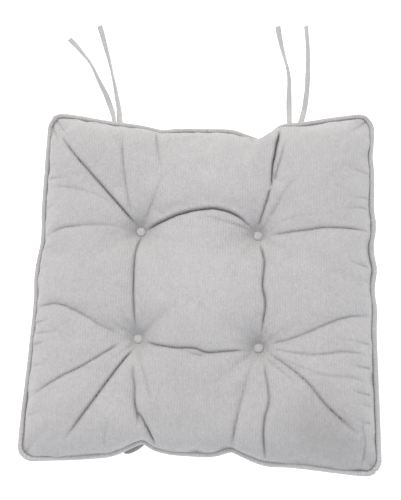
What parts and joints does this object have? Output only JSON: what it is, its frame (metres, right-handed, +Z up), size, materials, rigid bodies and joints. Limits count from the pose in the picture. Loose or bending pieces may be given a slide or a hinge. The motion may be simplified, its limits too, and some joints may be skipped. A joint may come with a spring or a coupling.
{
  "type": "chair seat pad",
  "caption": "Square tufted chair seat pad in fine-ribbed light grey cloth, with a piped edge, covered buttons and flat cloth ties at the back.",
  "frame": {"origin": "on the surface the pad lies on, under the middle of the pad without its ties", "axes": "+Z up out of the seat face, +Y towards the back of the seat where the ties are, +X to the right as seen from the front"},
  "size_m": [0.3968, 0.5223, 0.057],
  "materials": {
    "cover_cloth": "fine-ribbed brushed cloth, matt",
    "underside_cloth": "fine-ribbed brushed cloth, matt",
    "piping_cloth": "the cover cloth cut as a strip, matt",
    "tie_cloth": "folded and stitched strip of the cover cloth, matt",
    "button_cloth": "cover cloth drawn tight over a button, matt",
    "fibre": "loose polyester fibre",
    "filler_cord": "twisted cotton",
    "button_metal": "pressed, satin",
    "twine": "waxed",
    "backing_plastic": "moulded, slightly glossy"
  },
  "bodies": {
    "root": {"top_cover": "cover_cloth", "bottom_cover": "underside_cloth", "fibre_filling": "fibre", "piping_sleeve": "piping_cloth", "piping_cord": "filler_cord", "button_cloth_left_back": "button_cloth", "button_shell_left_back": "button_metal", "button_eye_plate_left_back": "button_metal", "tuft_twine_left_back": "twine", "backing_button_left_back": "backing_plastic", "button_cloth_right_back": "button_cloth", "button_shell_right_back": "button_metal", "button_eye_plate_right_back": "button_metal", "tuft_twine_right_back": "twine", "backing_button_right_back": "backing_plastic", "button_cloth_left_front": "button_cloth", "button_shell_left_front": "button_metal", "button_eye_plate_left_front": "button_metal", "tuft_twine_left_front": "twine", "backing_button_left_front": "backing_plastic", "button_cloth_right_front": "button_cloth", "button_shell_right_front": "button_metal", "button_eye_plate_right_front": "button_metal", "tuft_twine_right_front": "twine", "backing_button_right_front": "backing_plastic", "tie_left_outer": "tie_cloth", "tie_left_inner": "tie_cloth", "tie_right_inner": "tie_cloth", "tie_right_outer": "tie_cloth"}
  },
  "joints": []
}
